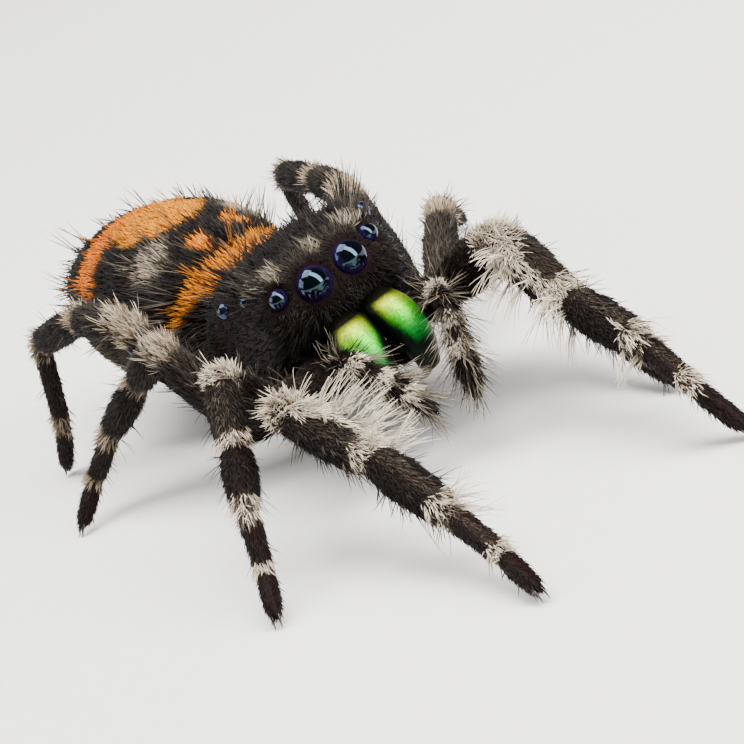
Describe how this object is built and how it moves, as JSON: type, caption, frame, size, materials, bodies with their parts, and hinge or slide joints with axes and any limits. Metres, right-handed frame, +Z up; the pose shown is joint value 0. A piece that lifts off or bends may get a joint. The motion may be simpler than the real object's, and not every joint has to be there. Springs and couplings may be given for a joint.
{
  "type": "bold jumping spider",
  "caption": "Life-size still model of a hairy jumping spider standing alert, front legs stretched forward, green jaws and orange marks on a dark abdomen.",
  "frame": {"origin": "middle of the footprint's bounding box, on the floor that the eight feet stand on", "axes": "+X the way the spider faces, +Y its left, +Z up"},
  "size_m": [0.0194, 0.0108, 0.005],
  "materials": {
    "dark_cuticle": "dark red-brown to black cuticle, satin, under a sparse coat",
    "body_coat": "dense dark grey-brown hair with bright orange marks",
    "leg_coat": "dark segments with long white and grey bristles, paler at the joints",
    "eye_lens": "glossy black lens with a faint blue-violet rim",
    "green_chelicera": "iridescent green, yellower towards the top"
  },
  "bodies": {
    "root": {"abdomen": "body_coat", "cephalothorax": "dark_cuticle", "chelicera_left": "green_chelicera", "chelicera_right": "green_chelicera", "eye_front_side_left": "eye_lens", "eye_front_side_right": "eye_lens", "eye_main_left": "eye_lens", "eye_main_right": "eye_lens", "eye_middle_left": "eye_lens", "eye_middle_right": "eye_lens", "eye_rear_side_left": "eye_lens", "eye_rear_side_right": "eye_lens", "leg_1_left_femur": "leg_coat", "leg_1_left_foot": "leg_coat", "leg_1_left_tibia": "leg_coat", "leg_1_right_femur": "leg_coat", "leg_1_right_foot": "leg_coat", "leg_1_right_tibia": "leg_coat", "leg_2_left_femur": "leg_coat", "leg_2_left_foot": "leg_coat", "leg_2_left_tibia": "leg_coat", "leg_2_right_femur": "leg_coat", "leg_2_right_foot": "leg_coat", "leg_2_right_tibia": "leg_coat", "leg_3_left_femur": "leg_coat", "leg_3_left_foot": "leg_coat", "leg_3_left_tibia": "leg_coat", "leg_3_right_femur": "leg_coat", "leg_3_right_foot": "leg_coat", "leg_3_right_tibia": "leg_coat", "leg_4_left_femur": "leg_coat", "leg_4_left_foot": "leg_coat", "leg_4_left_tibia": "leg_coat", "leg_4_right_femur": "leg_coat", "leg_4_right_foot": "leg_coat", "leg_4_right_tibia": "leg_coat", "palp_left_femur": "leg_coat", "palp_left_tarsus": "leg_coat", "palp_right_femur": "leg_coat", "palp_right_tarsus": "leg_coat", "pedicel": "dark_cuticle", "spinnerets": "body_coat"}
  },
  "joints": []
}
